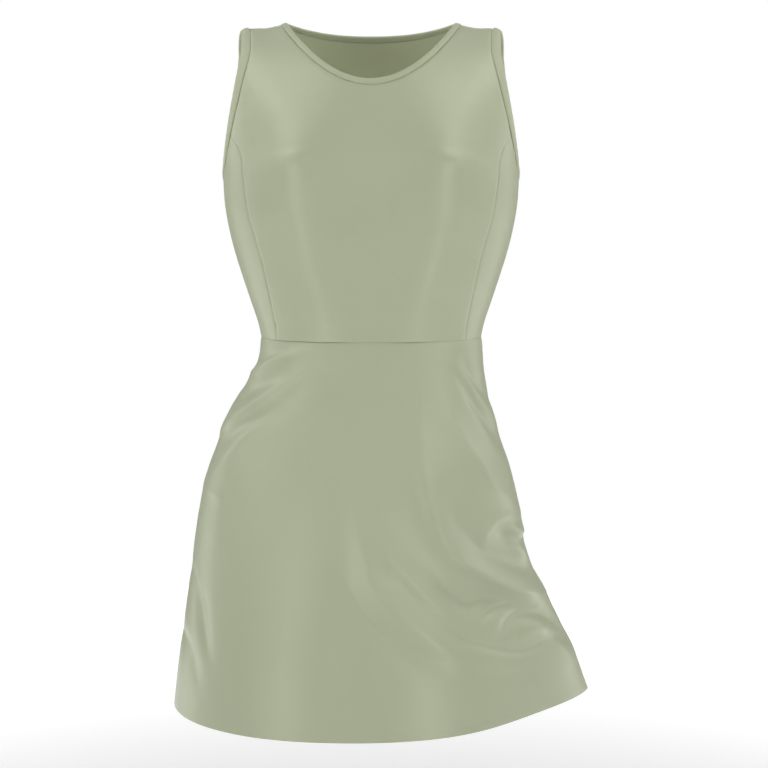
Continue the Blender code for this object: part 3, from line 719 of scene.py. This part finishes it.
def add_cloth_layers(mesh, faces, points, places, gaps):
    """The knit's place in metres as a UV map, and the distance to the nearest seam in millimetres."""
    width = columns(BODICE_ROWS, points[..., 2])[0]
    width = np.where(points[..., 2] < WAIST_LEVEL, columns(SKIRT_ROWS, points[..., 2])[0], width)
    knit = np.stack((np.radians(places[..., 0]) * width, points[..., 2]), -1).reshape(-1, 2)
    knit = np.concatenate((knit, knit))
    layer = mesh.uv_layers.new(name="knit")
    layer.data.foreach_set("uv", knit[faces.ravel()].ravel())
    seam = mesh.attributes.new("seam", "FLOAT", "POINT")
    seam.data.foreach_set("value", np.tile(gaps.ravel() * 1000, 2))


def panel_grid(surface, places, edges, fold_push, calm_rows):
    """A panel's grid: its middle points, normals, places and distances to its seams."""
    plain = surface(places[..., 0], places[..., 1])
    normals = normals_of(surface, places)
    for row in calm_rows:
        normals[row, :, 2] = 0
        normals[row] /= np.linalg.norm(normals[row], axis=-1, keepdims=True)
    gaps = distances(plain, edges, "top" if surface is skirt else "bottom")
    push = fold_push(plain, places)
    return dressed(plain, normals, gaps, push), normals, places, gaps, False


def bodice_push(points, places):
    """Soft shaping of the bodice, the same at both sides."""
    x, height = np.abs(points[..., 0]).ravel(), points[..., 2].ravel()
    facing = np.cos(np.radians(places[..., 0]))
    front = fold_height(BODICE_FOLDS, x, height, SOFT_CREST).reshape(facing.shape)
    back = fold_height(BODICE_BACK_FOLDS, x, height, SOFT_CREST).reshape(facing.shape)
    return front * ease(facing, *BODICE_BLEND) + back * ease(-facing, *BODICE_BLEND)


def skirt_push(points, places):
    """The skirt's folds, front and back."""
    x, height = points[..., 0].ravel(), points[..., 2].ravel()
    facing = ease(np.cos(np.radians(places[..., 0])), -SIDE_BLEND, SIDE_BLEND)
    front = fold_height(FRONT_FOLDS, x, height, FOLD_CREST).reshape(facing.shape)
    back = fold_height(BACK_FOLDS, x, height, FOLD_CREST).reshape(facing.shape)
    calm = ease(WAIST_LEVEL - points[..., 2], 0.0, WAIST_CALM)
    return (front * facing + back * (1 - facing)) * calm


def thickness(gaps):
    """Half the wall, thinner right at the seams so that the edges look turned in."""
    return CLOTH_WALL / 2 * (EDGE_SHARE + (1 - EDGE_SHARE) * ease(gaps, 0, EDGE_WIDTH))


def centre_panel(name, front, materials):
    """The front panel or the back panel."""
    about = 0 if front else 180
    rise = junction_rise(front)
    near = joined(waist_to_armhole(front), armhole_run(rise, 1.0, front))
    far = other_side(near, about)
    neck = neck_run(front, NECK_BAND_WIDTH)
    first, last = (far, near) if front else (near, far)
    if not front:
        neck = turned_round(neck)
        neck[:, 1] = np.where(neck[:, 1] < 0, neck[:, 1] + 360, neck[:, 1])
    start = straight(bodice, first[-1, 1:], neck[0, 1:])
    end = straight(bodice, neck[-1, 1:], last[-1, 1:])
    top = joined(start, neck, end)
    bottom = straight(bodice, first[0, 1:], last[0, 1:])
    strap = start[-1, 0] / top[-1, 0]
    junction = waist_to_armhole(front)[-1, 0] / near[-1, 0]
    cell = BODICE_CELL if front else BACK_CELL
    u = steps(top[-1, 0], cell, (strap, 1 - strap))
    v = steps(near[-1, 0], cell, (junction,))
    places = patch(bottom, top, first, last, u, v)
    grid = panel_grid(bodice, places, ("bottom", "top", "first", "last"), bodice_push, (0,))
    return shell(name, grid, thickness(grid[3]), materials)


def side_panel(name, mirrored, materials):
    """A side panel: at +X, or mirrored to -X."""
    first, last = waist_to_armhole(True), waist_to_armhole(False)
    top = joined(
        armhole_run(junction_rise(True), 0.0, True),
        armhole_run(0.0, junction_rise(False), False),
    )
    bottom = straight(bodice, first[0, 1:], last[0, 1:])
    u = steps(bottom[-1, 0], BODICE_CELL)
    v = steps(first[-1, 0], BODICE_CELL)
    places = patch(bottom, top, first, last, u, v)
    grid = panel_grid(bodice, places, ("bottom", "top", "first", "last"), bodice_push, (0,))
    grid = mirror(grid) if mirrored else grid
    return shell(name, grid, thickness(grid[3]), materials)


def mirror(grid):
    """The same grid at -X."""
    points, normals, places, gaps, closed = grid
    flip = np.array((-1.0, 1.0, 1.0))
    turned = places[:, ::-1] * (-1, 1)
    return points[:, ::-1] * flip, normals[:, ::-1] * flip, turned, gaps[:, ::-1], closed


def band_grid(seams, width):
    """A band's grid between its seam and its edge, from a run for each share of its width."""
    shares = np.array(BAND_SHARES)
    runs = [seams(width * share) for share in shares]
    count = int(runs[0][-1, 0] / BAND_CELL)
    rounds = np.linspace(0, 1, count + 1)[:-1]
    places = np.stack([at(run, rounds) for run in runs])
    points = bodice(places[..., 0], places[..., 1])
    normals = normals_of(bodice, places)
    gaps = np.linalg.norm(points - points[:1], axis=-1)
    bulge = np.sqrt(np.maximum(1 - np.abs(2 * shares - 1) ** 3, 0))[:, None]
    share = BAND_EDGE_SHARE + (1 - BAND_EDGE_SHARE) * bulge
    halves = BAND_WALL / 2 * share * np.ones_like(gaps)
    pucker = PUCKER_RISE * uneven(points, PUCKER_LENGTH, BAND_SEED)
    groove = SEAM_DIP * np.exp(-((gaps / SEAM_DIP_WIDTH) ** 2))
    points = points + normals * BAND_CALM * (pucker - groove)[..., None]
    return (points, normals, places, gaps, True), halves


def neck_seams(band):
    """The neck's closed run at a distance from its edge: the front, then the back."""
    behind = turned_round(neck_run(False, band))
    return joined(neck_run(True, band), behind)


def arm_seams(band):
    """The armhole's closed run at +X: down its front, and up its back."""

    def run(start, end, front):
        return spaced(bodice, lambda s: armhole(start + (end - start) * s, front, band))

    return joined(run(1.0, 0.0, True), run(0.0, 1.0, False))


def bands(materials):
    """The neck's band and the two armhole bands."""
    grid, halves = band_grid(neck_seams, NECK_BAND_WIDTH)
    pieces = {"neck_band": shell("neck_band_knit", grid, halves, materials)}
    grid, halves = band_grid(arm_seams, ARM_BAND_WIDTH)
    pieces["arm_band_right"] = shell("arm_band_right_knit", grid, halves, materials)
    pieces["arm_band_left"] = shell("arm_band_left_knit", mirror(grid), halves, materials)
    return pieces


def skirt_panel(name, turns, cell, materials):
    """A skirt panel between two turns, from the hem to the waist seam."""
    around = math.radians(turns[1] - turns[0]) * MEAN_RADIUS
    height = WAIST_LEVEL - HEM_LEVEL
    u = steps(around, cell)
    v = steps(height, cell, (1 - CALM_WIDTH / height,))
    places = np.stack(np.meshgrid(turns[0] + (turns[1] - turns[0]) * u, v), -1)
    grid = panel_grid(skirt, places, ("top", "first", "last"), skirt_push, (-1,))
    hem = 1 - ease(places[..., 1] * height, 0, HEM_EDGE)
    return shell(name, grid, thickness(grid[3]) - HEM_THINNING * hem, materials)


def build_pieces(face, inside_painted_light, band, band_inside_painted_light):
    """Every panel and band, by the node that it replaces."""
    cloth = (face, inside_painted_light)
    pieces = {
        "front_panel": centre_panel("front_panel_knit", True, cloth),
        "back_panel": centre_panel("back_panel_knit", False, cloth),
        "side_panel_right": side_panel("side_panel_right_knit", False, cloth),
        "side_panel_left": side_panel("side_panel_left_knit", True, cloth),
        "skirt_front": skirt_panel("skirt_front_knit", (-90, 90), SKIRT_CELL, cloth),
        "skirt_back": skirt_panel("skirt_back_knit", (90, 270), BACK_CELL, cloth),
    }
    pieces.update(bands((band, band_inside_painted_light)))
    for node, piece in pieces.items():
        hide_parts(node)
    return pieces


def make_nodes(material):
    """A material's node tree, its shader, and a helper that adds a node."""
    material.use_nodes = True
    tree = material.node_tree

    def add(kind, settings=None, links=None):
        node = tree.nodes.new(kind)
        for key, value in (settings or {}).items():
            setattr(node, key, value)
        for key, value in (links or {}).items():
            if isinstance(value, bpy.types.NodeSocket):
                tree.links.new(value, node.inputs[key])
            else:
                node.inputs[key].default_value = value
        return node

    return tree, tree.nodes["Principled BSDF"], add


def knit_height(add, wale, course):
    """The jersey's rows of small V stitches, as a height from 0 to 1."""
    uv = add("ShaderNodeUVMap", {"uv_map": "knit"}).outputs[0]
    apart = add("ShaderNodeSeparateXYZ", links={0: uv})
    across = add("ShaderNodeMath", {"operation": "DIVIDE"}, {0: apart.outputs[0], 1: wale})
    up = add("ShaderNodeMath", {"operation": "DIVIDE"}, {0: apart.outputs[1], 1: course})
    rib = add("ShaderNodeMath", {"operation": "PINGPONG"}, {0: across.outputs[0], 1: 0.5})
    slanted = add("ShaderNodeMath", {"operation": "ADD"}, {0: up.outputs[0], 1: rib.outputs[0]})
    stitch = add("ShaderNodeMath", {"operation": "PINGPONG"}, {0: slanted.outputs[0], 1: 0.5})
    return add("ShaderNodeMath", {"operation": "ADD"}, {0: rib.outputs[0], 1: stitch.outputs[0]})


def jersey(name, light, dark, roughness, sheen):
    """Smooth stretch jersey: fine knit rows, slow colour variation, and painted shade along the seams.
    """
    material = bpy.data.materials.new(name)
    tree, shader, add = make_nodes(material)
    place = add("ShaderNodeTexCoord").outputs["Object"]
    slow = add("ShaderNodeTexNoise", links={"Vector": place, "Scale": SLOW_NOISE, "Detail": 3.0})
    fine = add("ShaderNodeTexNoise", links={"Vector": place, "Scale": FINE_NOISE, "Detail": 2.0})
    both = add(
        "ShaderNodeMath",
        {"operation": "MULTIPLY_ADD"},
        {0: fine.outputs["Fac"], 1: TONE_SHARE, 2: slow.outputs["Fac"]},
    )
    tone = add("ShaderNodeMapRange", links={0: both.outputs[0], 1: TONE_START, 2: 1.0, 3: 0.0, 4: 1.0})
    tint = add("ShaderNodeMix", {"data_type": "RGBA"}, {0: tone.outputs[0], 6: dark, 7: light})
    # Painted shade: the colour darkens close to each seam, where the seam's crease lies in shadow
    seam = add("ShaderNodeAttribute", {"attribute_name": "seam"})
    painted_seam_shade = add(
        "ShaderNodeMapRange",
        {"interpolation_type": "SMOOTHSTEP"},
        {0: seam.outputs["Fac"], 1: SEAM_PAINTED_SHADE_START, 2: SEAM_PAINTED_SHADE_END, 3: SEAM_PAINTED_SHADE, 4: 1.0},
    )
    shaded = add("ShaderNodeMix", {"data_type": "RGBA", "blend_type": "MULTIPLY"}, {0: 1.0})
    tree.links.new(tint.outputs[2], shaded.inputs[6])
    tree.links.new(painted_seam_shade.outputs[0], shaded.inputs[7])
    tree.links.new(shaded.outputs[2], shader.inputs["Base Color"])
    knit = knit_height(add, WALE, COURSE)
    grain = add(
        "ShaderNodeMath",
        {"operation": "MULTIPLY_ADD"},
        {0: fine.outputs["Fac"], 1: GRAIN_SHARE, 2: knit.outputs[0]},
    )
    relief = {"Height": grain.outputs[0], "Distance": KNIT_RELIEF, "Strength": 1.0}
    bump = add("ShaderNodeBump", links=relief)
    tree.links.new(bump.outputs[0], shader.inputs["Normal"])
    shader.inputs["Roughness"].default_value = roughness
    shader.inputs["Specular IOR Level"].default_value = SPECULAR_LEVEL
    shader.inputs["Specular Tint"].default_value = SPECULAR_TINT
    shader.inputs["Sheen Weight"].default_value = sheen
    shader.inputs["Sheen Roughness"].default_value = SHEEN_ROUGHNESS
    shader.inputs["Sheen Tint"].default_value = SHEEN_TINT
    return material


def plain_stage(name, colour):
    """A plain matt finish for the floor, which glows towards its rim."""
    material = bpy.data.materials.new(name)
    tree, shader, add = make_nodes(material)
    place = add("ShaderNodeTexCoord").outputs["Object"]
    mottle = add("ShaderNodeTexNoise", links={"Vector": place, "Scale": FLOOR_MOTTLE_SCALE})
    tone = add("ShaderNodeMapRange", links={0: mottle.outputs["Fac"], 3: FLOOR_MOTTLE, 4: 1.0})
    tint = add("ShaderNodeMix", {"data_type": "RGBA", "blend_type": "MULTIPLY"}, {0: 1.0, 6: colour})
    tree.links.new(tone.outputs[0], tint.inputs[7])
    tree.links.new(tint.outputs[2], shader.inputs["Base Color"])
    shader.inputs["Roughness"].default_value = FLOOR_ROUGHNESS
    outwards = add("ShaderNodeVectorMath", {"operation": "LENGTH"}, {0: place})
    glow = add(
        "ShaderNodeMapRange",
        {"interpolation_type": "SMOOTHSTEP"},
        {0: outwards.outputs["Value"], 1: FLOOR_PLAIN, 2: FLOOR_RADIUS, 3: 0.0, 4: FLOOR_RIM_GLOW},
    )
    shader.inputs["Emission Color"].default_value = (1.0, 1.0, 1.0, 1.0)
    tree.links.new(glow.outputs[0], shader.inputs["Emission Strength"])
    return material


def studio():
    """A round pale floor below the dress."""
    turns = np.linspace(0, 2 * math.pi, FLOOR_SIDES + 1)[:-1]
    rim = [(FLOOR_RADIUS * math.cos(turn), FLOOR_RADIUS * math.sin(turn), 0.0) for turn in turns]
    mesh = bpy.data.meshes.new("studio_floor")
    mesh.from_pydata(rim, [], [list(range(FLOOR_SIDES))])
    mesh.materials.append(plain_stage("studio_white", FLOOR_COLOUR))
    floor = bpy.data.objects.new("studio_floor", mesh)
    floor.location = (0.0, 0.0, FLOOR_LEVEL)
    bpy.context.scene.collection.objects.link(floor)


def area_light(name, place, target, size, power):
    """A soft box that points at a target."""
    light = bpy.data.lights.new(name, "AREA")
    light.shape = "RECTANGLE"
    light.size, light.size_y = size
    light.energy = power
    lamp = bpy.data.objects.new(name, light)
    lamp.location = place
    lamp.visible_camera = False
    aim = Vector(target) - Vector(place)
    lamp.rotation_euler = aim.to_track_quat("-Z", "Y").to_euler()
    bpy.context.scene.collection.objects.link(lamp)


def soft_pair(name, azimuth, elevation, size, power):
    """The same soft box at both sides of the dress, or one alone straight before or behind it."""
    sides = (("right", 1), ("left", -1)) if azimuth % 180 else (("alone", 1),)
    for side, sign in sides:
        turn, rise = math.radians(azimuth) * sign, math.radians(elevation)
        level = math.cos(rise)
        reach = Vector((math.sin(turn) * level, -math.cos(turn) * level, math.sin(rise)))
        place = LIGHT_TARGET + LIGHT_DISTANCE * reach
        area_light(f"{name}_{side}", place, LIGHT_TARGET, size, power)


def lights():
    """Soft boxes all round the dress, and a plain white surround that gives a little light."""
    for row in LIGHT_ROWS:
        soft_pair(*row)
    world = bpy.data.worlds.new("studio_air")
    world.use_nodes = True
    tree = world.node_tree
    air = tree.nodes["Background"]
    air.inputs["Color"].default_value = (1.0, 1.0, 1.0, 1.0)
    seen = tree.nodes.new("ShaderNodeLightPath").outputs["Is Camera Ray"]
    glow = tree.nodes.new("ShaderNodeMapRange")
    glow.inputs["To Min"].default_value = AIR_STRENGTH
    glow.inputs["To Max"].default_value = SURROUND_STRENGTH
    tree.links.new(seen, glow.inputs["Value"])
    tree.links.new(glow.outputs["Result"], air.inputs["Strength"])
    bpy.context.scene.world = world


def camera():
    """The photograph's viewing angle: level with the chest, tilted slightly down."""
    lens = bpy.data.cameras.new("camera")
    lens.sensor_width = CAMERA_SENSOR
    lens.lens = CAMERA_LENS
    lens.clip_start, lens.clip_end = CAMERA_CLIP
    eye = bpy.data.objects.new("camera", lens)
    eye.location = CAMERA_PLACE
    eye.rotation_euler = (math.pi / 2 - CAMERA_TILT, 0.0, 0.0)
    bpy.context.scene.collection.objects.link(eye)
    bpy.context.scene.camera = eye


def main():
    """Dresses the frame."""
    scene = bpy.context.scene
    scene.view_settings.view_transform = "Standard"
    scene.view_settings.look = "None"
    camera()
    lights()
    studio()
    pieces = build_pieces(*(jersey(name, *kind) for name, kind in JERSEYS.items()))


main()
